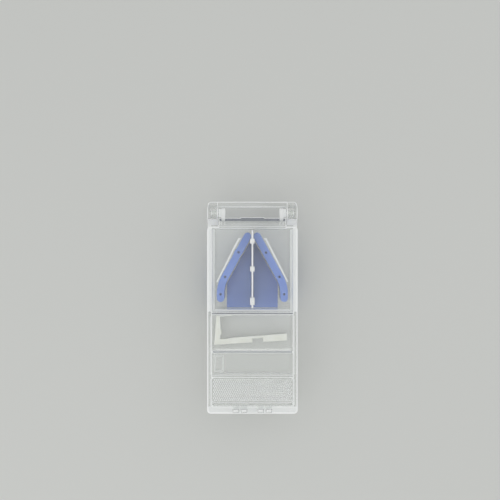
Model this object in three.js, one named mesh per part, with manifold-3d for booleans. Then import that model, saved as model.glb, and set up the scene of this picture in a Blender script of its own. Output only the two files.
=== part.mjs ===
// Pocket pill splitter: a clear tray with a hinged clear lid that carries a steel blade,
// a blue V holder that centres the pill, a storage compartment and a loose safety lock.
// Millimetres. +Z is up, +Y points to the hinge, and the origin is the centre of the underside.

import * as THREE from 'three';
import { ConvexGeometry } from 'three/addons/geometries/ConvexGeometry.js';
import { mergeVertices } from 'three/addons/utils/BufferGeometryUtils.js';
import Module from 'manifold-3d';

const wasm = await Module();
wasm.setup();

// ---- driving dimensions ----

const LENGTH = 89;
const WIDTH = 38;
const HEIGHT = 22;
const WALL = 1.6;
const FLOOR = 1.6;
const CORNER_RADIUS = 1.6;
const PARTING = 13;            // top of the tray's walls
const PARTING_GAP = 0.3;       // lid to tray
const FRONT_WALL = 2.5;

const HALF_W = WIDTH / 2;
const HALF_L = LENGTH / 2;
const INNER_X = HALF_W - WALL;
const FRONT_INNER = -HALF_L + FRONT_WALL;
const LID_BOTTOM = PARTING + PARTING_GAP;
const LID_SKIN = 1.6;
const LID_UNDERSIDE = HEIGHT - LID_SKIN;

const HINGE_Y = 39.6;
const HINGE_Z = 16;
const PIN_RADIUS = 1.2;
const PIN_START = 11.7;
const PIN_END = 17.4;
const EAR_BORE = 1.25;
const POST_BORE = 1.45;
const POST_BORE_END = 17.7;
const EAR_INNER = 11.4;
const EAR_OUTER = 13;
const EAR_RADIUS = 2;
const COLLAR_END = 14.2;       // a fluted collar fills the gap from ear to post
const POST_INNER = 14.5;
const POST_FRONT = 34.2;
const POST_RADIUS = 3.2;
const REAR_BAR_FRONT = 42;
const REAR_BAR_TOP = 14;
const LID_SHOULDER = 33.9;     // the lid narrows here to pass between the hinge posts
const LID_REAR = 37.4;
const NECK_HALF_W = 14.05;

const CHAMBER_REAR = 33;
const WINDOW_FRONT = 37.4;
const BULKHEAD_REAR = -2.4;
const BULKHEAD_FRONT = -3.6;
const DIVIDER_Y = -19.3;
const DIVIDER_THICK = 1.2;
const DIVIDER_TOP = PARTING - 0.5;
const BAY_FRONT = -29;
const BAY_WALL = 1.2;

const HOLDER_FLOOR = 1.9;
const HOLDER_PLATE_TOP = 3;
const RAIL_BOTTOM = 3.05;
const RAIL_TOP = 12.5;
const RAIL_WIDTH = 3.2;
const RAIL_X = 13.5;           // centre line of the rails' straight front ends
const RAIL_END_Y = 3.5;
const RAIL_APEX_X = 2;
const RAIL_ANGLE = THREE.MathUtils.degToRad(29);
const RAIL_BEND_RADIUS = 14;
const RAIL_CORNER_Y = 9.07;    // where the two straight centre lines would meet
const BED_TOP = 5.6;
const BED_HALF_W = 10.9;
const BED_FRONT = -0.7;
const BED_APEX_Y = 29.4;
const SLIT_HALF = 0.55;
const SLIT_BOTTOM = 4.1;

const BLADE_HALF = 0.15;
const BLADE_FRONT = -0.5;
const BLADE_REAR = 32.3;
const BLADE_EDGE_Z = 4.9;
const BLADE_GRIND_Z = 6.3;
const BLADE_SPINE_Z = 19.6;
const SPINE_HALF = 0.42;       // the blade's folded spine
const SPINE_BOTTOM = 17.9;
const BLADE_CLEARANCE = 0.07;
const CLIPS = [
  { name: 'blade_clip_front', y: 2.5, length: 3 },
  { name: 'blade_clip_middle', y: 16, length: 2 },
  { name: 'blade_clip_rear', y: 27.7, length: 2 },
];

const TONGUE_WIDTH = 2.1;
const TONGUE_XS = [3.45, 6.9];

const SIDES = [
  { name: 'left', sign: -1 },
  { name: 'right', sign: 1 },
];

const CORNER_STEPS = 4;
const EDGE_STEPS = 3;
const WELD = 0.2;              // how far a joined piece runs into its neighbour

// ---- solids from three.js geometry, joined and cut with manifold ----

function solid(geometry) {
  geometry.deleteAttribute('normal');
  geometry.deleteAttribute('uv');
  const merged = mergeVertices(geometry, 1e-5);
  return new wasm.Manifold(new wasm.Mesh({
    numProp: 3,
    vertProperties: new Float32Array(merged.attributes.position.array),
    triVerts: new Uint32Array(merged.index.array),
  }));
}

function union(parts) {
  return parts.reduce((sum, part) => sum.add(part));
}

function block(x0, x1, y0, y1, z0, z1) {
  const geometry = new THREE.BoxGeometry(Math.abs(x1 - x0), y1 - y0, z1 - z0);
  geometry.translate((x0 + x1) / 2, (y0 + y1) / 2, (z0 + z1) / 2);
  return solid(geometry);
}

// One level of a soft block: a rectangle with round corners, drawn in by inset on every side.
function ring({ x0, x1, y0, y1, corner }, inset, z) {
  const [lowX, highX] = [Math.min(x0, x1) + inset, Math.max(x0, x1) - inset];
  const [lowY, highY] = [y0 + inset, y1 - inset];
  const radius = Math.max(corner - inset, 0.05);
  const corners = [
    [highX - radius, highY - radius, 0],
    [lowX + radius, highY - radius, 1],
    [lowX + radius, lowY + radius, 2],
    [highX - radius, lowY + radius, 3],
  ];
  return corners.flatMap(([x, y, quarter]) => [...Array(CORNER_STEPS + 1).keys()].map((i) => {
    const angle = (quarter + i / CORNER_STEPS) * Math.PI / 2;
    return new THREE.Vector3(x + radius * Math.cos(angle), y + radius * Math.sin(angle), z);
  }));
}

// A block with round corners in plan and rounded edges: bottom and top are those edges' radii.
function softBlock({ z0, z1, bottom = 0, top = 0, ...plan }) {
  const points = [];
  for (let i = 0; i <= EDGE_STEPS; i += 1) {
    const turn = i / EDGE_STEPS * Math.PI / 2;
    const [inward, along] = [1 - Math.sin(turn), 1 - Math.cos(turn)];
    points.push(...ring(plan, bottom * inward, z0 + bottom * along));
    points.push(...ring(plan, top * inward, z1 - top * along));
  }
  return solid(new ConvexGeometry(points));
}

// What a softened rim takes away above a hollow: a low block whose sides lean out towards z1.
function flare(plan, width, z0, z1) {
  return solid(new ConvexGeometry([...ring(plan, 0, z0), ...ring(plan, -width, z1)]));
}

function shapeOf(points) {
  return new THREE.Shape(points.map(([x, y]) => new THREE.Vector2(x, y)));
}

// A plan outline raised from z0 to z1.
function raised(shape, z0, z1) {
  const geometry = new THREE.ExtrudeGeometry(shape, { depth: z1 - z0, bevelEnabled: false });
  geometry.translate(0, 0, z0);
  return solid(geometry);
}

// A side profile, given as (y, z) points, carried from x0 to x1, with rounded edges at its ends.
function alongX(points, x0, x1, rounding = 0) {
  const low = Math.min(x0, x1) + rounding;
  const geometry = new THREE.ExtrudeGeometry(shapeOf(points), {
    depth: Math.abs(x1 - x0) - 2 * rounding,
    bevelEnabled: rounding > 0,
    bevelThickness: rounding,
    bevelSize: rounding,
    bevelOffset: -rounding,
    bevelSegments: 2,
  });
  geometry.applyMatrix4(new THREE.Matrix4().makeBasis(
    new THREE.Vector3(0, 1, 0),
    new THREE.Vector3(0, 0, 1),
    new THREE.Vector3(1, 0, 0),
  ));
  geometry.translate(low, 0, 0);
  return solid(geometry);
}

// An end profile, given as (x, z) points, carried from y0 to y1.
function alongY(points, y0, y1) {
  const geometry = new THREE.ExtrudeGeometry(shapeOf(points), { depth: y1 - y0, bevelEnabled: false });
  geometry.rotateX(Math.PI / 2);
  geometry.translate(0, y1, 0);
  return solid(geometry);
}

// A round bar along X, centred on the hinge axis, with its end edges rounded.
function hingeRound(radius, x0, x1, rounding = 0) {
  const half = Math.abs(x1 - x0) / 2;
  const profile = [new THREE.Vector2(0, -half)];
  for (const end of [-1, 1]) {
    const steps = rounding ? EDGE_STEPS : 0;
    for (let i = 0; i <= steps; i += 1) {
      const turn = (end < 0 ? i : steps - i) / (steps || 1) * Math.PI / 2;
      profile.push(new THREE.Vector2(
        radius - rounding * (1 - Math.sin(turn)),
        end * (half - rounding * (1 - Math.cos(turn))),
      ));
    }
  }
  profile.push(new THREE.Vector2(0, half));
  const geometry = new THREE.LatheGeometry(profile, 32);
  geometry.rotateZ(Math.PI / 2);
  geometry.translate((x0 + x1) / 2, HINGE_Y, HINGE_Z);
  return solid(geometry);
}

function upright(radius, x, y, z0, z1) {
  const geometry = new THREE.CylinderGeometry(radius, radius, z1 - z0, 16);
  geometry.rotateX(Math.PI / 2);
  geometry.translate(x, y, (z0 + z1) / 2);
  return solid(geometry);
}

// ---- materials ----

function plastic(color, roughness, opacity = 1) {
  return new THREE.MeshStandardMaterial({
    color, roughness, metalness: 0, opacity, transparent: opacity < 1,
  });
}

const CLEAR = plastic(0xe8efec, 0.08, 0.3);
const BLUE = plastic(0x6f8fd0, 0.5);
const BED_BLUE = plastic(0x6480b8, 0.55);
const LOCK_WHITE = plastic(0xe9ebe2, 0.4);
const PIN_GREY = plastic(0x3c4658, 0.4);
const STEEL = new THREE.MeshStandardMaterial({ color: 0xc9ccd0, roughness: 0.25, metalness: 1 });

const assembly = new THREE.Group();

function addPart(name, manifold, material) {
  const data = manifold.getMesh();
  const geometry = new THREE.BufferGeometry();
  geometry.setAttribute('position', new THREE.BufferAttribute(new Float32Array(data.vertProperties), 3));
  geometry.setIndex(new THREE.BufferAttribute(new Uint32Array(data.triVerts), 1));
  geometry.computeVertexNormals();
  const mesh = new THREE.Mesh(geometry, material);
  mesh.name = name;
  assembly.add(mesh);
}

// ---- the tray ----

const HOLLOW_CORNER = 0.7;
const FLOOR_FILLET = 0.5;
const RIM_SOFTENING = 0.35;
const SHOULDER_FOOT_FRONT = 34.5;
const SHOULDER_FOOT_REAR = 42.8;
const SHOULDER_TOP_FRONT = 37.2;
const SHOULDER_TOP_REAR = 41.6;
const SHOULDER_TOP_Z = 17.8;
const TONGUE_TOP = 21.7;
const TONGUE_FRONT = -43.75;
const TONGUE_REAR = -42.75;

// A hinge post: a sloped shoulder under a round head that is bored for the pin.
function hingePost(sign) {
  const inner = sign * POST_INNER;
  const outer = sign * HALF_W;
  const shoulder = alongX([
    [SHOULDER_FOOT_FRONT, PARTING - 1],
    [SHOULDER_FOOT_REAR, PARTING - 1],
    [SHOULDER_FOOT_REAR, PARTING],
    [SHOULDER_TOP_REAR, SHOULDER_TOP_Z],
    [SHOULDER_TOP_FRONT, SHOULDER_TOP_Z],
    [SHOULDER_FOOT_FRONT, PARTING],
  ], inner, outer, 0.25);
  const head = hingeRound(POST_RADIUS, inner, outer, 0.4);
  const bore = hingeRound(POST_BORE, sign * (POST_INNER - 1), sign * POST_BORE_END);
  return shoulder.add(head).subtract(bore);
}

// Ribs on a side wall with a groove that holds the end of the divider.
function dividerGuide(sign) {
  const ribX = 1;
  const ribHalf = 1.3;
  const grooveHalf = DIVIDER_THICK / 2 + 0.15;
  const [y0, y1] = [DIVIDER_Y - ribHalf, DIVIDER_Y + ribHalf];
  const rib = block(sign * (INNER_X - ribX), sign * (INNER_X + WELD), y0, y1, FLOOR - WELD, DIVIDER_TOP);
  const groove = block(
    sign * (INNER_X - ribX - 1),
    sign * INNER_X,
    DIVIDER_Y - grooveHalf,
    DIVIDER_Y + grooveHalf,
    FLOOR,
    PARTING,
  );
  return rib.subtract(groove);
}

// A low rectangular rim on the floor that takes the short arm of the safety lock.
function lockSocket() {
  const rim = 0.7;
  const top = 5;
  const softening = 0.2;
  const outer = { x0: -16.5, x1: -12.3, y0: -28.4, y1: -21.2, corner: 0.4 };
  const inner = {
    x0: outer.x0 + rim,
    x1: outer.x1 - rim,
    y0: outer.y0 + rim,
    y1: outer.y1 - rim,
    corner: 0.2,
  };
  const hollow = softBlock({ ...inner, z0: FLOOR, z1: top + 1 });
  const mouth = flare(inner, 2 * softening, top - softening, top + softening);
  return softBlock({ ...outer, z0: FLOOR - WELD, z1: top, top: softening }).subtract(hollow.add(mouth));
}

function latchTongue(x) {
  return softBlock({
    x0: x - TONGUE_WIDTH / 2,
    x1: x + TONGUE_WIDTH / 2,
    y0: TONGUE_FRONT,
    y1: TONGUE_REAR,
    corner: 0.15,
    z0: PARTING - 1,
    z1: TONGUE_TOP,
    top: 0.3,
  });
}

// A compartment of the tray: round corners, a filleted floor and a softened rim.
function compartment(halfWidth, y0, y1) {
  const plan = { x0: -halfWidth, x1: halfWidth, y0, y1, corner: HOLLOW_CORNER };
  const hollow = softBlock({ ...plan, z0: FLOOR, z1: PARTING + 1, bottom: FLOOR_FILLET });
  return hollow.add(flare(plan, 2 * RIM_SOFTENING, PARTING - RIM_SOFTENING, PARTING + RIM_SOFTENING));
}

function trayBody() {
  const shell = softBlock({
    x0: -HALF_W,
    x1: HALF_W,
    y0: -HALF_L,
    y1: HALF_L,
    corner: CORNER_RADIUS,
    z0: 0,
    z1: PARTING,
    bottom: 0.5,
    top: RIM_SOFTENING,
  });
  const window = softBlock({
    x0: -POST_INNER,
    x1: POST_INNER,
    y0: WINDOW_FRONT,
    y1: REAR_BAR_FRONT,
    corner: HOLLOW_CORNER,
    z0: -1,
    z1: PARTING,
  });
  const hollows = union([
    compartment(INNER_X, BULKHEAD_REAR, CHAMBER_REAR),
    compartment(INNER_X, BAY_FRONT, BULKHEAD_FRONT),
    compartment(INNER_X, FRONT_INNER, BAY_FRONT - BAY_WALL),
    compartment(POST_INNER, POST_FRONT, REAR_BAR_FRONT),
    window,
  ]);
  const rearBar = softBlock({
    x0: -POST_INNER - 0.5,
    x1: POST_INNER + 0.5,
    y0: REAR_BAR_FRONT,
    y1: HALF_L,
    corner: 0.3,
    z0: PARTING - 1,
    z1: REAR_BAR_TOP,
    top: 0.4,
  });
  const posts = SIDES.map(({ sign }) => hingePost(sign));
  const guides = SIDES.map(({ sign }) => dividerGuide(sign));
  const tongues = SIDES.flatMap(({ sign }) => TONGUE_XS.map((x) => latchTongue(sign * x)));
  return union([shell.subtract(hollows), rearBar, ...posts, ...guides, ...tongues, lockSocket()]);
}

// ---- the lid ----

const SKIRT_INNER = 15.8;
const SKIRT_OUTER = 17;
const SKIRT_BOTTOM = 10.5;
const SKIRT_REAR = 32.6;
const SKIRT_FRONT = -1.9;
const SKIRT_FRONT_INNER = -0.9;
const THUMB_REAR = -29.5;
const THUMB_FRONT = -39.5;
const THUMB_HALF_W = 16.9;
const THUMB_DEPTH = 0.3;
const GROOVE_PITCH = 1;
const GROOVE_DEPTH = 0.35;
const GROOVE_MARGIN = 1.2;
const SKIRT_ROUNDING = 0.3;
const LID_TOP_ROUNDING = 0.6;
const LID_RIM_ROUNDING = 0.25;
const EAR_ROUNDING = 0.25;
const COLLAR_FLUTES = 14;
const COLLAR_CREST = 1.75;
const COLLAR_ROOT = 1.5;

// The collar beside an ear: lengthwise flutes round the hinge axis.
function flutedCollar(sign) {
  const points = [...Array(2 * COLLAR_FLUTES).keys()].map((i) => {
    const radius = i % 2 ? COLLAR_ROOT : COLLAR_CREST;
    const angle = i / COLLAR_FLUTES * Math.PI;
    return [HINGE_Y + radius * Math.cos(angle), HINGE_Z + radius * Math.sin(angle)];
  });
  return alongX(points, sign * (EAR_OUTER - WELD), sign * COLLAR_END);
}

// A hinge ear: a web that drops from the lid's rear edge to a round boss on the hinge axis, which
// it meets at tangent points to the rear and the front.
function hingeEar(sign) {
  const webFront = LID_SHOULDER + 0.4;
  const webTop = HEIGHT - 0.5;
  const webBottom = LID_UNDERSIDE - 0.4;
  const tangent = { y: 1.8, z: 0.8 };
  const web = alongX([
    [webFront, webTop],
    [LID_REAR - 0.3, webTop],
    [HINGE_Y + tangent.y, HINGE_Z + tangent.z],
    [HINGE_Y - tangent.y, HINGE_Z - tangent.z],
    [HINGE_Y - 2 * EAR_RADIUS, webBottom],
    [webFront, webBottom],
  ], sign * EAR_INNER, sign * EAR_OUTER, EAR_ROUNDING);
  const boss = hingeRound(EAR_RADIUS, sign * EAR_INNER, sign * EAR_OUTER, EAR_ROUNDING);
  const bore = hingeRound(EAR_BORE, sign * (EAR_INNER - 1), sign * (COLLAR_END + 1));
  return union([web, boss, flutedCollar(sign)]).subtract(bore);
}

// The stiffening rib across the rear edge, a little thicker over its middle third.
function rearRib() {
  const thick = 1.3;
  const bottom = 18.6;
  const middleHalf = 5;
  const middleExtra = 0.3;
  const rounding = { corner: 0.3, bottom: 0.1, top: EAR_ROUNDING };
  const rib = { ...rounding, y0: LID_REAR - thick, z0: bottom, z1: HEIGHT };
  const edge = softBlock({ ...rib, x0: -NECK_HALF_W, x1: NECK_HALF_W, y1: LID_REAR });
  const middle = softBlock({ ...rib, x0: -middleHalf, x1: middleHalf, y1: LID_REAR + middleExtra });
  return edge.add(middle);
}

// A slot in the front lip that a latch tongue stands in.
function latchSlot(x) {
  const gap = 0.3;
  const lip = 0.15;
  const plan = {
    x0: x - TONGUE_WIDTH / 2 - gap,
    x1: x + TONGUE_WIDTH / 2 + gap,
    y0: TONGUE_FRONT - gap,
    y1: TONGUE_REAR + gap,
    corner: 0.2,
  };
  const hole = softBlock({ ...plan, z0: LID_BOTTOM - 1, z1: HEIGHT + 1 });
  return hole.add(flare(plan, 2 * lip, HEIGHT - lip, HEIGHT + lip));
}

// Upright finger grooves in the lid's side walls, beside the thumb pad.
function sideGrooves() {
  const half = GROOVE_PITCH / 4;
  const [z0, z1] = [LID_BOTTOM + GROOVE_MARGIN, HEIGHT - GROOVE_MARGIN];
  const grooves = [];
  for (const { sign } of SIDES) {
    for (let y = THUMB_FRONT + GROOVE_PITCH / 2; y < THUMB_REAR; y += GROOVE_PITCH) {
      grooves.push(block(sign * (HALF_W - GROOVE_DEPTH), sign * (HALF_W + 1), y - half, y + half, z0, z1));
    }
  }
  return grooves;
}

// The walls that hang inside the tray round the cutting chamber, at its sides and front.
function chamberSkirt() {
  const middle = (SKIRT_INNER + SKIRT_OUTER) / 2;
  const wall = { corner: 0.35, z1: LID_UNDERSIDE + WELD, bottom: SKIRT_ROUNDING };
  const sides = SIDES.map(({ sign }) => softBlock({
    ...wall,
    x0: sign * SKIRT_INNER,
    x1: sign * SKIRT_OUTER,
    y0: SKIRT_FRONT,
    y1: SKIRT_REAR,
    z0: SKIRT_BOTTOM,
  }));
  const front = softBlock({
    ...wall,
    x0: -middle,
    x1: middle,
    y0: SKIRT_FRONT + 0.05,
    y1: SKIRT_FRONT_INNER,
    z0: SKIRT_BOTTOM + 0.15,
  });
  return union([...sides, front]);
}

function lidBody() {
  const shell = softBlock({
    x0: -HALF_W,
    x1: HALF_W,
    y0: -HALF_L,
    y1: LID_SHOULDER,
    corner: CORNER_RADIUS,
    z0: LID_BOTTOM,
    z1: HEIGHT,
    bottom: LID_RIM_ROUNDING,
    top: LID_TOP_ROUNDING,
  });
  const inside = { x0: -INNER_X, x1: INNER_X, y0: FRONT_INNER, y1: LID_REAR, corner: HOLLOW_CORNER };
  const hollow = softBlock({ ...inside, z0: LID_BOTTOM - 1, z1: LID_UNDERSIDE, top: FLOOR_FILLET });
  const thumb = { x0: -THUMB_HALF_W, x1: THUMB_HALF_W, y0: THUMB_FRONT, y1: THUMB_REAR, corner: 1 };
  const recess = flare(thumb, 2 * THUMB_DEPTH, HEIGHT - THUMB_DEPTH, HEIGHT + THUMB_DEPTH);
  const slots = SIDES.flatMap(({ sign }) => TONGUE_XS.map((x) => latchSlot(sign * x)));
  const neck = softBlock({
    x0: -NECK_HALF_W,
    x1: NECK_HALF_W,
    y0: LID_SHOULDER - 3,
    y1: LID_REAR,
    corner: 0.3,
    z0: LID_UNDERSIDE,
    z1: HEIGHT,
    top: EAR_ROUNDING,
    bottom: EAR_ROUNDING,
  });
  const cap = shell.subtract(union([hollow, recess, ...slots, ...sideGrooves()]));
  const ears = SIDES.map(({ sign }) => hingeEar(sign));
  return union([cap, neck, rearRib(), ...ears, chamberSkirt()]);
}

// ---- the blade and its clips ----

// A strip ground to an edge below, with its spine folded thicker above.
function bladeBody() {
  return alongY([
    [0, BLADE_EDGE_Z],
    [BLADE_HALF, BLADE_GRIND_Z],
    [BLADE_HALF, SPINE_BOTTOM],
    [SPINE_HALF, SPINE_BOTTOM],
    [SPINE_HALF, BLADE_SPINE_Z],
    [-SPINE_HALF, BLADE_SPINE_Z],
    [-SPINE_HALF, SPINE_BOTTOM],
    [-BLADE_HALF, SPINE_BOTTOM],
    [-BLADE_HALF, BLADE_GRIND_Z],
  ], BLADE_FRONT, BLADE_REAR);
}

// A U-shaped clip that hangs from the lid and grips the blade from above.
function clipBody({ y, length }) {
  const half = 0.95;
  const bottom = 14.2;
  const bladeSlot = BLADE_HALF + BLADE_CLEARANCE;
  const spineSlot = SPINE_HALF + BLADE_CLEARANCE;
  const spineFloor = SPINE_BOTTOM - BLADE_CLEARANCE;
  const slotTop = BLADE_SPINE_Z + 0.2;
  const body = block(-half, half, y - length / 2, y + length / 2, bottom, LID_UNDERSIDE);
  const slots = union([
    block(-bladeSlot, bladeSlot, y - length, y + length, bottom - 1, slotTop),
    block(-spineSlot, spineSlot, y - length, y + length, spineFloor, slotTop),
  ]);
  return body.subtract(slots);
}

// ---- the V holder ----

// Outline of one rail: a strip of even width with round ends, whose centre line runs
// from the apex at RAIL_ANGLE to the centre plane and then bends to run straight forward.
function railOutline(sign) {
  const half = RAIL_WIDTH / 2;
  const tangent = RAIL_BEND_RADIUS * Math.tan(RAIL_ANGLE / 2);
  const bendX = RAIL_X - RAIL_BEND_RADIUS;
  const bendY = RAIL_CORNER_Y - tangent;
  const apexY = RAIL_CORNER_Y + (RAIL_X - RAIL_APEX_X) / Math.tan(RAIL_ANGLE);
  const points = [];
  const arc = (cx, cy, radius, from, to, steps) => {
    for (let i = 0; i <= steps; i += 1) {
      const angle = from + (to - from) * i / steps;
      points.push([sign * (cx + radius * Math.cos(angle)), cy + radius * Math.sin(angle)]);
    }
  };
  arc(bendX, bendY, RAIL_BEND_RADIUS + half, 0, RAIL_ANGLE, 6);
  arc(RAIL_APEX_X, apexY, half, RAIL_ANGLE, RAIL_ANGLE + Math.PI, 10);
  arc(bendX, bendY, RAIL_BEND_RADIUS - half, RAIL_ANGLE, 0, 6);
  arc(RAIL_X, RAIL_END_Y, half, Math.PI, Math.PI * 2, 10);
  return shapeOf(points);
}

const RAIL_PIN_RADIUS = 0.45;
const RAIL_PIN_HOLE = 0.5;
const RAIL_PIN_TOP = RAIL_TOP - 0.35;
const RAIL_PIN_YS = { rear: 22.9, middle: 12.6, front: 5.2 };

// The three points on a rail's centre line where it is pinned down.
function railPinPlaces(sign) {
  return Object.entries(RAIL_PIN_YS).map(([name, y]) => ({
    name,
    x: sign * (RAIL_X - Math.max(y - RAIL_CORNER_Y, 0) * Math.tan(RAIL_ANGLE)),
    y,
  }));
}

function railBody(sign) {
  const strip = raised(railOutline(sign), RAIL_BOTTOM, RAIL_TOP);
  const bladeGap = block(-SLIT_HALF, SLIT_HALF, 20, 40, RAIL_BOTTOM - 1, RAIL_TOP + 1);
  const holes = railPinPlaces(sign).map(({ x, y }) => (
    upright(RAIL_PIN_HOLE, x, y, RAIL_BOTTOM - 1, RAIL_TOP + 1)
  ));
  return strip.subtract(union([bladeGap, ...holes]));
}

function bedOutline() {
  const shoulderY = BED_APEX_Y - BED_HALF_W / Math.tan(RAIL_ANGLE);
  return shapeOf([
    [0, BED_APEX_Y],
    [-BED_HALF_W, shoulderY],
    [-BED_HALF_W, BED_FRONT],
    [BED_HALF_W, BED_FRONT],
    [BED_HALF_W, shoulderY],
  ]);
}

function bedBody() {
  const slab = raised(bedOutline(), RAIL_BOTTOM, BED_TOP);
  const slit = block(-SLIT_HALF, SLIT_HALF, BED_FRONT - 1, BED_APEX_Y + 1, SLIT_BOTTOM, BED_TOP + 1);
  return slab.subtract(slit);
}

// The clear frame under the rails: a plate with an upright fence outside each rail.
function holderFrame() {
  const fenceHalf = 0.3;
  const fenceTop = [5.7, 28.5];
  const fenceEnd = [15.05, 10.4];
  const hook = 0.85;
  const parts = [raised(bedOutline(), HOLDER_FLOOR, HOLDER_PLATE_TOP)];
  for (const { sign } of SIDES) {
    const plate = shapeOf([
      [0, BED_APEX_Y + 2],
      [sign * fenceTop[0], fenceTop[1]],
      [sign * fenceEnd[0], fenceEnd[1]],
      [sign * fenceEnd[0], 2],
      [0, 2],
    ]);
    const fence = shapeOf([
      [sign * (fenceTop[0] - fenceHalf), fenceTop[1]],
      [sign * (fenceTop[0] - hook), fenceTop[1]],
      [sign * (fenceTop[0] - hook), fenceTop[1] + 2 * fenceHalf],
      [sign * (fenceTop[0] + fenceHalf), fenceTop[1] + 2 * fenceHalf],
      [sign * (fenceEnd[0] + fenceHalf), fenceEnd[1]],
      [sign * (fenceEnd[0] - fenceHalf), fenceEnd[1]],
    ]);
    parts.push(raised(plate, HOLDER_FLOOR, HOLDER_PLATE_TOP));
    parts.push(raised(fence, HOLDER_PLATE_TOP - WELD, RAIL_TOP));
  }
  const holes = SIDES.flatMap(({ sign }) => railPinPlaces(sign).map(({ x, y }) => (
    upright(RAIL_PIN_HOLE, x, y, HOLDER_FLOOR - 1, HOLDER_PLATE_TOP + 1)
  )));
  return union(parts).subtract(union(holes));
}

// ---- the divider ----

function dividerBody() {
  const endGap = 0.2;
  return softBlock({
    x0: -INNER_X + endGap,
    x1: INNER_X - endGap,
    y0: DIVIDER_Y - DIVIDER_THICK / 2,
    y1: DIVIDER_Y + DIVIDER_THICK / 2,
    corner: 0.1,
    z0: FLOOR + 0.1,
    z1: DIVIDER_TOP,
    top: 0.35,
  });
}

// ---- the safety lock ----

const LOCK_CORNER = [-16.5, -16.8];
const LOCK_TILT = THREE.MathUtils.degToRad(3.3);
const LOCK_BOTTOM = 1.7;
const LOCK_THICK = 2.8;

// Outline in the lock's own plan: the long arm runs along u, widening to its end, and the short
// arm leans over it, with a barb on its inner edge and a thin hook at its top.
function lockBody() {
  const arm = { length: 31.6, width: 2.6, endWidth: 3.1, chamfer: 0.3 };
  const notch = { start: 16.6, end: 21.2, depth: 1.7 };
  const heel = { width: 2.35, end: 6.4 };
  const upright = { height: 12.5, width: 2.4, lean: Math.tan(THREE.MathUtils.degToRad(8)) };
  const barb = { low: 4.2, high: 6.4, depth: 0.7, slope: 0.3 };
  const hook = { thick: 0.55, reach: 8.4 };
  const innerEdge = (v) => upright.width + upright.lean * v;
  const outline = [
    [0, 0],
    [notch.start, 0],
    [notch.start, notch.depth],
    [notch.end, notch.depth],
    [notch.end, 0],
    [arm.length - arm.chamfer, 0],
    [arm.length, arm.chamfer],
    [arm.length, arm.endWidth],
    [heel.end, arm.width],
    [heel.end, heel.width],
    [innerEdge(heel.width), heel.width],
    [innerEdge(barb.low), barb.low],
    [innerEdge(barb.low) + barb.depth, barb.low + barb.slope],
    [innerEdge(barb.high), barb.high],
    [innerEdge(barb.high), upright.height - hook.thick],
    [hook.reach, upright.height - hook.thick],
    [hook.reach, upright.height],
    [upright.lean * upright.height, upright.height],
  ];
  const geometry = new THREE.ExtrudeGeometry(shapeOf(outline), { depth: LOCK_THICK, bevelEnabled: false });
  geometry.rotateZ(LOCK_TILT);
  geometry.translate(LOCK_CORNER[0], LOCK_CORNER[1], LOCK_BOTTOM);
  return solid(geometry);
}

// ---- the assembly ----

addPart('base_tray', trayBody(), CLEAR);
addPart('lid', lidBody(), CLEAR);
addPart('blade', bladeBody(), STEEL);
for (const clip of CLIPS) {
  addPart(clip.name, clipBody(clip), LOCK_WHITE);
}
addPart('pill_bed', bedBody(), BED_BLUE);
addPart('holder_frame', holderFrame(), CLEAR);
for (const { name, sign } of SIDES) {
  addPart(`${name}_grip_rail`, railBody(sign), BLUE);
  for (const place of railPinPlaces(sign)) {
    const pin = upright(RAIL_PIN_RADIUS, place.x, place.y, HOLDER_FLOOR, RAIL_PIN_TOP);
    addPart(`${name}_rail_pin_${place.name}`, pin, PIN_GREY);
  }
  addPart(`${name}_hinge_pin`, hingeRound(PIN_RADIUS, sign * PIN_START, sign * PIN_END), CLEAR);
}
addPart('storage_divider', dividerBody(), CLEAR);
addPart('safety_lock', lockBody(), LOCK_WHITE);

export default assembly;
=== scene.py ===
import bmesh
import bpy
import math
import numpy as np
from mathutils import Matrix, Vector


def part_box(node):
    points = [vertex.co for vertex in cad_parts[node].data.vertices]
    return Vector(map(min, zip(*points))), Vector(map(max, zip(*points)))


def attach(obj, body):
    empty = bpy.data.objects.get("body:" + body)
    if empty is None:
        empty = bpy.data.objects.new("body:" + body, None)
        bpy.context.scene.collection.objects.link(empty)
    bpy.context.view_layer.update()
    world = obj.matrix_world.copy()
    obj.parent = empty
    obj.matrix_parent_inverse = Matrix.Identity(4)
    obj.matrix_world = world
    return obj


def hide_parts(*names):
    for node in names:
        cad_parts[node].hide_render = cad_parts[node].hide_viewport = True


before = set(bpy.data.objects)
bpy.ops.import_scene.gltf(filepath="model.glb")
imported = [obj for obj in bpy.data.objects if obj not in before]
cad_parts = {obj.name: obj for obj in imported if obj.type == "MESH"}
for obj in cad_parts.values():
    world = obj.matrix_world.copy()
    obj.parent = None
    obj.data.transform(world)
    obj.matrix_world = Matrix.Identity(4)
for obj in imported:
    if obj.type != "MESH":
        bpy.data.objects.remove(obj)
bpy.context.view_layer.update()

# ---- driving sizes, in metres ----

MM = 0.001
SIDES = ("left", "right")
PLACES = ("rear", "middle", "front")

LID_LO, LID_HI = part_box("lid")
LID_TOP = LID_HI.z
LID_UNDER = LID_TOP - 1.65 * MM        # just below the underside of the lid's top
FRONT_Y = LID_LO.y

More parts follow.
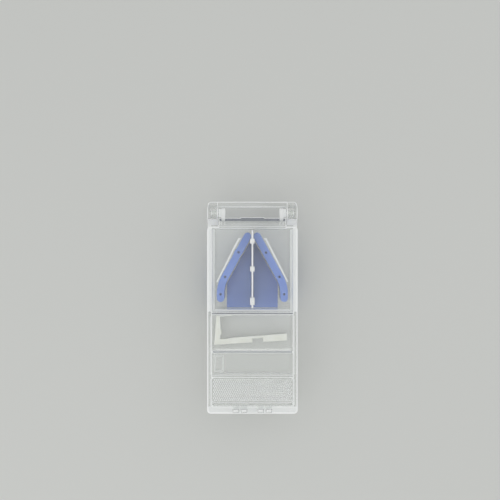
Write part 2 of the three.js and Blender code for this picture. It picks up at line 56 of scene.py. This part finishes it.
WALL_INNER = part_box("base_tray")[1].x - 1.6 * MM
LIP_BACK = FRONT_Y + 2.5 * MM
CHAMBER_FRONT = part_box("pill_bed")[0].y - 1.3 * MM
BULKHEAD_FRONT = CHAMBER_FRONT - 2 * MM
HINGE_ZONE = LID_HI.y - 7 * MM
RIM_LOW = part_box("holder_frame")[1].z
FENCE_LOW = RIM_LOW - 1 * MM           # the slanting fences' tops are above this
TONGUE_LOW = RIM_LOW + 1 * MM          # only latch tongues and hinge posts are above this
# Below SKIRTING the tray gets no painted highlight and stays plain clear.
SKIRTING = 4.5 * MM                    # below this the tray's edges stay polished
POST_EDGES = (14.9 * MM, 18.6 * MM)
POST_HEAD_FRONT = 36.8 * MM
SKIRT_INNER = 15.7 * MM
SKIRT_BACK = CHAMBER_FRONT + 1.3 * MM
EAR_INNER = 11.3 * MM
RIB_FRONT, RIB_REAR = 36.0 * MM, 37.8 * MM

THUMB_HALF_X = 16.9 * MM
THUMB_FRONT = FRONT_Y + 5 * MM
THUMB_REAR = FRONT_Y + 15 * MM
THUMB_DEPTH = 0.3 * MM

SAME_POINT = 1e-6
SHARP = math.radians(35)
LEVEL = 0.9995                         # how near to up or down a level face points
UPRIGHT = 0.05                         # how little up or down an upright face points
EDGE_SEGMENTS = 3

# ---- camera and light ----

FIELD = 208.9 * MM                     # width of the view at the lid's top
CAMERA_HEIGHT = 0.55                   # above the lid's top
CAMERA_X, CAMERA_Y = -1.0 * MM, 24.0 * MM
SENSOR = 36.0

SKY_COLOUR = (0.98, 0.99, 1.0, 1)
SKY_STRENGTH = 0.72
LAMPS = [
    # name, place, target, width and depth, watts
    ("overhead", (0, -0.04, 0.9), (0, -0.04, 0), (0.4, 0.5), 0.3),
    ("key", (-0.35, -0.45, 0.55), (0, 0, 0), (0.5, 0.5), 1.1),
    ("fill", (0.5, 0.2, 0.5), (0, 0, 0), (0.5, 0.5), 0.4),
]
FLOOR_HALF = 3
FLOOR_DROP = 0.05 * MM                 # the floor lies just under the tray
WALL_BOUNCES = 64
SHADOW_BOUNCES = 32


def make_camera():
    """A camera that looks straight down on the lid, with the hinge at the top of the picture."""
    data = bpy.data.cameras.new("camera")
    data.sensor_width = SENSOR
    data.lens = SENSOR * CAMERA_HEIGHT / FIELD
    data.clip_start = 0.01
    data.clip_end = 20
    camera = bpy.data.objects.new("camera", data)
    camera.location = (CAMERA_X, CAMERA_Y, LID_TOP + CAMERA_HEIGHT)
    bpy.context.scene.collection.objects.link(camera)
    bpy.context.scene.camera = camera


def area_light(name, place, target, size, power):
    """A soft white lamp at place, facing target."""
    data = bpy.data.lights.new(name, "AREA")
    data.shape = "RECTANGLE"
    data.size, data.size_y = size
    data.energy = power
    lamp = bpy.data.objects.new(name, data)
    lamp.location = place
    lamp.rotation_mode = "QUATERNION"
    lamp.rotation_quaternion = (Vector(target) - Vector(place)).to_track_quat("-Z", "Y")
    bpy.context.scene.collection.objects.link(lamp)


def light_the_studio():
    """An even pale sky and three soft lamps."""
    world = bpy.data.worlds.new("studio")
    world.use_nodes = True
    background = world.node_tree.nodes["Background"]
    background.inputs["Color"].default_value = SKY_COLOUR
    background.inputs["Strength"].default_value = SKY_STRENGTH
    bpy.context.scene.world = world
    for lamp in LAMPS:
        area_light(*lamp)


def follow_light_through_walls():
    """Clear walls stand one behind another, so a ray may pass many surfaces."""
    cycles = bpy.context.scene.cycles
    cycles.max_bounces = WALL_BOUNCES
    cycles.glossy_bounces = WALL_BOUNCES
    cycles.transmission_bounces = WALL_BOUNCES
    cycles.transparent_max_bounces = SHADOW_BOUNCES
    cycles.caustics_reflective = False
    cycles.caustics_refractive = False
    bpy.context.scene.view_settings.view_transform = "Standard"


# ---- shader tools ----

def linear(hex_colour):
    """sRGB hex to linear red, green, blue and alpha."""
    srgb = [int(hex_colour[i:i + 2], 16) / 255 for i in (1, 3, 5)]
    return [c / 12.92 if c <= 0.04045 else ((c + 0.055) / 1.055) ** 2.4 for c in srgb] + [1.0]


def add_node(tree, kind, inputs=(), **settings):
    """Adds a node, sets its properties, and fills each input with a value or a link from a socket."""
    node = tree.nodes.new(kind)
    for key, value in settings.items():
        setattr(node, key, value)
    for key, value in dict(inputs).items():
        if isinstance(value, bpy.types.NodeSocket):
            tree.links.new(value, node.inputs[key])
        else:
            node.inputs[key].default_value = value
    return node


def new_material(name, **principled):
    """A material with a Principled shader; underscores in the keywords stand for spaces. Gives the
    material, its node tree, the shader and the output node."""
    material = bpy.data.materials.new(name)
    material.use_nodes = True
    tree = material.node_tree
    tree.nodes.clear()
    sockets = {key.replace("_", " "): value for key, value in principled.items()}
    shader = add_node(tree, "ShaderNodeBsdfPrincipled", sockets)
    output = add_node(tree, "ShaderNodeOutputMaterial", {"Surface": shader.outputs[0]})
    return material, tree, shader, output


def object_noise(tree, millimetres, detail=2.0, stretch=(1, 1, 1)):
    """Noise on Object coordinates whose blobs are about that many millimetres across."""
    place = add_node(tree, "ShaderNodeTexCoord")
    mapping = add_node(tree, "ShaderNodeMapping", {"Vector": place.outputs["Object"], "Scale": stretch})
    return add_node(tree, "ShaderNodeTexNoise", {
        "Vector": mapping.outputs[0],
        "Scale": 1 / (millimetres * MM),
        "Detail": detail,
    }).outputs["Fac"]


def add_bump(tree, shader, height, depth_mm):
    """Raises the surface by up to that many millimetres where the height is one."""
    bump = add_node(tree, "ShaderNodeBump", {"Height": height, "Distance": depth_mm * MM, "Strength": 1.0})
    tree.links.new(bump.outputs[0], shader.inputs["Normal"])


def tint_between(tree, shader, factor, first, second):
    """Drives the base colour from the first colour to the second over the factor's middle range."""
    ramp = add_node(tree, "ShaderNodeValToRGB", {"Fac": factor})
    low, high = ramp.color_ramp.elements
    low.position, high.position = 0.3, 0.7
    low.color, high.color = linear(first), linear(second)
    tree.links.new(ramp.outputs[0], shader.inputs["Base Color"])


def let_light_through(tree, shader, output, colour):
    """Clear plastic doesn't block the light: shadow and diffuse rays pass it, tinted by its colour."""
    rays = add_node(tree, "ShaderNodeLightPath")
    either = add_node(tree, "ShaderNodeMath", {
        0: rays.outputs["Is Shadow Ray"],
        1: rays.outputs["Is Diffuse Ray"],
    }, operation="MAXIMUM")
    clear = add_node(tree, "ShaderNodeBsdfTransparent", {"Color": linear(colour)})
    mix = add_node(tree, "ShaderNodeMixShader", {
        0: either.outputs[0],
        1: shader.outputs[0],
        2: clear.outputs[0],
    })
    tree.links.new(mix.outputs[0], output.inputs["Surface"])


# ---- materials ----

def clear_polystyrene():
    """General-purpose polystyrene, injection moulded and polished by its tool: bright, hard
    gloss with very shallow flow ripples that bend what is seen through it."""
    material, tree, shader, output = new_material(
        "clear_polystyrene",
        Base_Color=linear("#FCFDFC"),
        Roughness=0.02,
        IOR=1.59,
        Transmission_Weight=1.0,
    )
    ripples = object_noise(tree, 5.0, detail=1.0, stretch=(1, 0.35, 1))
    add_bump(tree, shader, ripples, 0.015)
    let_light_through(tree, shader, output, "#FBFBFB")
    return material


def polystyrene_painted_light(name, colour, roughness, clarity, passing):
    """The same plastic, roughened and given a colour for painted highlight or painted shade: 0.5 mm grain,
    and clarity says how much of the light goes through. Shadow and diffuse rays take the passing colour."""
    material, tree, shader, output = new_material(
        name,
        Base_Color=linear(colour),
        Roughness=roughness,
        IOR=1.59,
        Transmission_Weight=clarity,
    )
    add_bump(tree, shader, object_noise(tree, 0.5), 0.01)
    let_light_through(tree, shader, output, passing)
    return material


def polystyrene_edge_highlight():
    """Rounded edges: painted highlight. Light that runs inside the walls comes out there and makes them
    look white, so they get a pale, rough, nearly opaque white.
    """
    return polystyrene_painted_light("polystyrene_edge_highlight", "#FDFEFD", 0.3, 0.15, "#DCE0DE")


def polystyrene_rim_highlight():
    """The flat lower rims of the walls: a paler painted highlight, rough whitish plastic in place of the
    light the walls catch there.
    """
    return polystyrene_painted_light("polystyrene_rim_highlight", "#FCFDFC", 0.35, 0.28, "#E4E8E6")


def polystyrene_painted_shade():
    """Painted shade: where light runs a long way through the plastic it looks dark, so a dull blue grey is
    painted there.
    """
    return polystyrene_painted_light("polystyrene_painted_shade", "#747981", 0.3, 0.15, "#B4BAC2")


def stainless_blade():
    """Hardened stainless strip: fine grinding lines run along the blade, roughly 0.05 mm apart,
    drawn at 0.25 mm so that they show."""
    material, tree, shader, _ = new_material(
        "stainless_steel",
        Base_Color=linear("#ECECF0"),
        Roughness=0.3,
        Metallic=1.0,
    )
    lines = object_noise(tree, 0.25, detail=3.0, stretch=(1, 0.04, 1))
    add_bump(tree, shader, lines, 0.006)
    rough = add_node(tree, "ShaderNodeMapRange", {"Value": lines, "To Min": 0.22, "To Max": 0.42})
    tree.links.new(rough.outputs[0], shader.inputs["Roughness"])
    return material


def moulded_blue(name, base, lighter):
    """Coloured polypropylene from a lightly spark-eroded tool: satin, with 0.25 mm grain and a
    faint cloudiness in the pigment."""
    material, tree, shader, _ = new_material(
        name,
        Base_Color=linear(base),
        Roughness=0.42,
        IOR=1.49,
        Subsurface_Weight=0.06,
        Subsurface_Radius=(0.4, 0.7, 1.6),
        Subsurface_Scale=1.0 * MM,
    )
    tint_between(tree, shader, object_noise(tree, 7.0, detail=3.0), base, lighter)
    add_bump(tree, shader, object_noise(tree, 0.25), 0.02)
    return material


def translucent_white(name, colour, warmer):
    """Natural unfilled polypropylene: milky, lets a little light in, with a satin face."""
    material, tree, shader, _ = new_material(
        name,
        Base_Color=linear(colour),
        Roughness=0.36,
        IOR=1.49,
        Subsurface_Weight=0.5,
        Subsurface_Radius=(1.0, 1.0, 0.9),
        Subsurface_Scale=1.2 * MM,
    )
    tint_between(tree, shader, object_noise(tree, 5.0), colour, warmer)
    add_bump(tree, shader, object_noise(tree, 0.3), 0.012)
    return material


def pin_painted_hole_shade():
    """Acetal pins coloured dark slate as painted shade: the dark stands in for the shade inside the rails'
    deep pin holes. Moulded, with a satin face, slightly mottled.
    """
    material, tree, shader, _ = new_material(
        "acetal_painted_hole_shade",
        Base_Color=linear("#2E3A58"),
        Roughness=0.4,
        IOR=1.48,
    )
    tint_between(tree, shader, object_noise(tree, 0.4), "#26314C", "#3B486A")
    return material


def studio_floor():
    """Matt painted board, pale and plain."""
    return new_material("studio_floor", Base_Color=linear("#CDCECA"), Roughness=0.7)[0]


CLEAR = clear_polystyrene()
# The edge material is painted highlight: white in place of the light that the rounded edges catch.
EDGE_HIGHLIGHT = polystyrene_edge_highlight()
# The haze material is a paler painted highlight on the walls' lower rims.
RIM_HIGHLIGHT = polystyrene_rim_highlight()
# The deep material is painted shade: a dull blue grey where the clear plastic looks dark.
SHADE_GREY = polystyrene_painted_shade()
STEEL = stainless_blade()
RAIL_BLUE = moulded_blue("polypropylene_rail_blue", "#6B8AD6", "#7896DE")
BED_BLUE = moulded_blue("polypropylene_bed_blue", "#6C88CC", "#7A94D4")
LOCK_WHITE = translucent_white("polypropylene_lock_white", "#F2F3EB", "#E9EAE0")
CLIP_WHITE = translucent_white("polypropylene_clip_white", "#FAFBFA", "#F1F3F2")
# The pins' dark slate is painted shade of their holes.
PIN_HOLE_SHADE = pin_painted_hole_shade()


# ---- meshes ----

def finish_piece(name, mesh, body, materials, nodes=()):
    """Links a mesh as a piece, gives it its materials and ties it to its body and nodes."""
    piece = bpy.data.objects.new(name, mesh)
    bpy.context.scene.collection.objects.link(piece)
    for material in materials:
        mesh.materials.append(material)
    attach(piece, body)
    if nodes:
        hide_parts(*nodes)
    return piece


def welded_copy(node, flat_angle):
    """A bmesh of a CAD node with its loose triangles joined, and the ones that lie within the
    flat angle of each other made one face."""
    bm = bmesh.new()
    bm.from_mesh(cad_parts[node].data)
    bmesh.ops.remove_doubles(bm, verts=bm.verts, dist=SAME_POINT)
    bmesh.ops.dissolve_limit(bm, angle_limit=math.radians(flat_angle), verts=bm.verts, edges=bm.edges)
    return bm


def is_sharp(edge):
    return len(edge.link_faces) == 2 and edge.calc_face_angle(0) > SHARP


def shaded_piece(bm, name, body, materials, node):
    """Makes a bmesh the piece that replaces a node. Flat faces keep their own direction and the
    rounded edges turn smoothly between them."""
    mesh = bpy.data.meshes.new(name)
    bm.to_mesh(mesh)
    bm.free()
    piece = finish_piece(name, mesh, body, materials, [node])
    weighted = piece.modifiers.new("even_normals", "WEIGHTED_NORMAL")
    weighted.keep_sharp = True


def rounded(node, name, body, material, fine, wide=(), edge_material=None):
    """A copy of a CAD node with rounded edges. wide is a list of (test, radius): the sharp edges
    whose middle passes the test take that radius first, and the rest take the fine one. The
    rounds may have a material of their own."""
    bm = welded_copy(node, 1)
    for face in bm.faces:
        face.material_index = 0
    for test, radius in [*wide, (lambda middle: True, fine)]:
        sharp = [
            edge for edge in bm.edges
            if is_sharp(edge)
            and all(face.material_index == 0 for face in edge.link_faces)
            and test((edge.verts[0].co + edge.verts[1].co) / 2)
        ]
        bmesh.ops.bevel(
            bm, geom=sharp, offset=radius, offset_type="OFFSET", segments=EDGE_SEGMENTS,
            profile=0.5, affect="EDGES", clamp_overlap=False, material=1,
        )
    for face in bm.faces:
        face.smooth = True
        face.material_index = face.material_index if edge_material else 0
    for edge in bm.edges:
        if is_sharp(edge):
            edge.smooth = False
    materials = [material, edge_material] if edge_material else [material]
    shaded_piece(bm, name, body, materials, node)


# ---- the clear mouldings ----

# Slots: plain clear, painted highlight, paler painted highlight, painted shade.
CLEAR_AND_PAINTED_LIGHT = (CLEAR, EDGE_HIGHLIGHT, RIM_HIGHLIGHT, SHADE_GREY)
PLAIN, HIGHLIGHTED, PALE_HIGHLIGHTED, SHADED = range(4)


def slanting(normal):
    return UPRIGHT < abs(normal.z) < LEVEL


def tray_painted_light(centre, normal):
    """Painted highlight on the rounded rims, the shoulders and the latch tongues, a paler painted
    highlight on the rims beside the cutting chamber, painted shade (a dull blue grey) on the bulkhead's
    top, and plain clear elsewhere."""
    x, y, z = abs(centre.x), centre.y, centre.z
    if z < SKIRTING:
        return PLAIN
    if z > TONGUE_LOW:
        post_head = y > POST_HEAD_FRONT and POST_EDGES[0] < x < POST_EDGES[1]
        tongue = y < LIP_BACK
        return HIGHLIGHTED if tongue or (slanting(normal) and not post_head) else PLAIN
    if slanting(normal):
        return HIGHLIGHTED
    if normal.z < LEVEL or z < RIM_LOW:
        return PLAIN
    if x > WALL_INNER and CHAMBER_FRONT < y < HINGE_ZONE:
        return PALE_HIGHLIGHTED
    return SHADED if BULKHEAD_FRONT < y < CHAMBER_FRONT and x < WALL_INNER else PLAIN


def lid_painted_light(centre, normal):
    """Painted highlight on the rounded edges, the ears and the rim of the skirt's front wall, a paler
    painted highlight on the other lower rims beside the chamber and at the front, painted shade (a dull
    blue grey) under the rear rib, and plain clear elsewhere."""
    x, y, z = abs(centre.x), centre.y, centre.z
    under = z < LID_UNDER
    if RIB_FRONT < y < RIB_REAR and x < EAR_INNER and under:
        return SHADED if normal.z < -UPRIGHT else PLAIN
    if slanting(normal):
        return HIGHLIGHTED
    if normal.z > -LEVEL or not under:
        return PLAIN
    if CHAMBER_FRONT < y < SKIRT_BACK and z < RIM_LOW:
        return HIGHLIGHTED
    return PALE_HIGHLIGHTED if y < LIP_BACK or (y > CHAMBER_FRONT and x > SKIRT_INNER) else PLAIN


def frame_painted_light(centre, normal):
    """Painted highlight along the tops of the slanting fences, plain clear elsewhere."""
    return HIGHLIGHTED if normal.z > LEVEL and centre.z > FENCE_LOW else PLAIN


def divider_painted_light(centre, normal):
    """Painted highlight on the rounded top edge, painted shade between its two rounds, plain clear
    elsewhere.
    """
    if slanting(normal):
        return HIGHLIGHTED
    return SHADED if normal.z > LEVEL else PLAIN


def clear_moulding(node, name, body, finish, cuts=()):
    """A welded copy of a clear CAD node, whose faces take plain clear plastic, painted highlight or
    painted shade as its function gives for their centre and direction. cuts is a list of (axis, place)
    planes that part long faces."""
    bm = welded_copy(node, 0.5)
    for axis, place in cuts:
        point = [place if i == axis else 0 for i in range(3)]
        normal = [float(i == axis) for i in range(3)]
        whole = [*bm.verts, *bm.edges, *bm.faces]
        bmesh.ops.bisect_plane(bm, geom=whole, plane_co=point, plane_no=normal)
    for face in bm.faces:
        face.smooth = True
        face.material_index = finish(face.calc_center_bounds(), face.normal)
    for edge in bm.edges:
        edge.smooth = len(edge.link_faces) == 2 and edge.calc_face_angle(0) < SHARP
    shaded_piece(bm, name, body, CLEAR_AND_PAINTED_LIGHT, node)


def clear_pieces():
    """The tray, the lid, the holder's frame and the storage divider."""
    walls = [(0, -WALL_INNER), (0, WALL_INNER), (1, CHAMBER_FRONT), (1, LIP_BACK)]
    clear_moulding("base_tray", "tray_shell", "tray", tray_painted_light, [*walls, (1, BULKHEAD_FRONT)])
    clear_moulding("lid", "lid_shell", "lid", lid_painted_light, walls)
    clear_moulding("holder_frame", "holder_frame_shell", "tray", frame_painted_light)
    clear_moulding("storage_divider", "divider_plate", "tray", divider_painted_light)


# ---- the other pieces ----

def rails_and_pins():
    """The two rails of the V with their three pins each, and the two hinge pins."""
    for side in SIDES:
        rounded(
            # The hinge pins' rounds take the painted edge highlight.
            f"{side}_hinge_pin", f"{side}_hinge_pin_turned", "lid", CLEAR,
            fine=0.2 * MM, edge_material=EDGE_HIGHLIGHT,
        )
        rounded(
            f"{side}_grip_rail", f"{side}_rail_moulding", "tray", RAIL_BLUE,
            fine=0.14 * MM,
        )
        for place in PLACES:
            node = f"{side}_rail_pin_{place}"
            rounded(node, f"{node}_turned", "tray", PIN_HOLE_SHADE, fine=0.1 * MM)


def bed_and_lock():
    rounded("pill_bed", "bed_moulding", "tray", BED_BLUE, fine=0.15 * MM)
    rounded(
        "safety_lock", "safety_lock_moulding", "safety_lock", LOCK_WHITE,
        fine=0.2 * MM,
    )


def blade_and_clips():
    """The blade, rounder along its folded spine, and its clips, rounder along their top corners."""
    near = 0.1 * MM
    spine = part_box("blade")[1].z - near
    rounded(
        "blade", "blade_ground", "lid", STEEL, fine=0.02 * MM,
        wide=[(lambda middle: middle.z > spine, 0.2 * MM)],
    )
    for place in PLACES:
        node = f"blade_clip_{place}"
        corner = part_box(node)[1] - Vector((near, near, near))
        rounded(
            node, f"{node}_moulding", "lid", CLIP_WHITE, fine=0.1 * MM,
            wide=[(lambda middle: abs(middle.x) > corner.x and middle.z > corner.z, 0.4 * MM)],
        )


# ---- moulded grip ----

def thumb_dots():
    """Rows of low domes on the thumb pad. One dome is height = top * cos(turn) at radius
    r * sin(turn), turn from 0 at its crown to a right angle at its foot, swept round a circle;
    the domes stand on a staggered square grid."""
    pitch, radius, top = 0.84 * MM, 0.34 * MM, 0.27 * MM
    sunk = 0.005 * MM
    rings, sides = 3, 8
    turn = np.linspace(0, math.pi / 2, rings + 1)[1:]
    angle = np.arange(sides) * 2 * math.pi / sides
    ring_x = radius * np.sin(turn)[:, None] * np.cos(angle)
    ring_y = radius * np.sin(turn)[:, None] * np.sin(angle)
    ring_z = top * np.cos(turn)[:, None] * np.ones(sides)
    around = np.stack([ring_x, ring_y, ring_z], -1).reshape(-1, 3)
    dome = np.concatenate([[[0, 0, top]], around, [[0, 0, 0]]])

    step = np.arange(sides)
    after = (step + 1) % sides
    ring = 1 + sides * np.arange(rings)[:, None]
    near, far = ring[:-1], ring[1:]
    wall = np.stack([near + step, far + step, far + after, near + after], -1).reshape(-1, 4)
    crown = np.stack([np.zeros(sides, int), ring[0] + step, ring[0] + after], 1)
    foot = np.stack([np.full(sides, len(dome) - 1), ring[-1] + after, ring[-1] + step], 1)

    columns = int((2 * THUMB_HALF_X - 2 * radius) / pitch)
    rows = int((THUMB_REAR - THUMB_FRONT - 2 * radius) / pitch)
    column, row = (a.ravel() for a in np.meshgrid(np.arange(columns), np.arange(rows)))
    x = (column - (columns - 1) / 2 + 0.25 * (-1.0) ** row) * pitch
    y = (THUMB_FRONT + THUMB_REAR) / 2 + (row - (rows - 1) / 2) * pitch
    seat = np.stack([x, y, np.full(x.shape, LID_TOP - THUMB_DEPTH + sunk)], 1)
    points = (seat[:, None, :] + dome).reshape(-1, 3)
    first = (np.arange(len(seat)) * len(dome))[:, None, None]
    quads = (wall + first).reshape(-1, 4).tolist()
    triangles = (np.concatenate([crown, foot]) + first).reshape(-1, 3).tolist()

    mesh = bpy.data.meshes.new("thumb_grip_dots")
    mesh.from_pydata(points.tolist(), [], quads + triangles)
    bm = bmesh.new()
    bm.from_mesh(mesh)
    bmesh.ops.recalc_face_normals(bm, faces=bm.faces)
    for face in bm.faces:
        face.smooth = True
    bm.to_mesh(mesh)
    bm.free()
    # The domes take the painted edge highlight: white where clear dots would catch the light.
    finish_piece("thumb_grip_dots", mesh, "lid", [EDGE_HIGHLIGHT])


def lay_floor():
    """A wide square floor, left out of the part."""
    half = FLOOR_HALF
    corners = [(-half, -half, 0), (half, -half, 0), (half, half, 0), (-half, half, 0)]
    mesh = bpy.data.meshes.new("floor")
    mesh.from_pydata(corners, [], [(0, 1, 2, 3)])
    mesh.materials.append(studio_floor())
    floor = bpy.data.objects.new("floor", mesh)
    floor.location.z = -FLOOR_DROP
    bpy.context.scene.collection.objects.link(floor)


make_camera()
light_the_studio()
follow_light_through_walls()
lay_floor()
clear_pieces()
rails_and_pins()
bed_and_lock()
blade_and_clips()
thumb_dots()
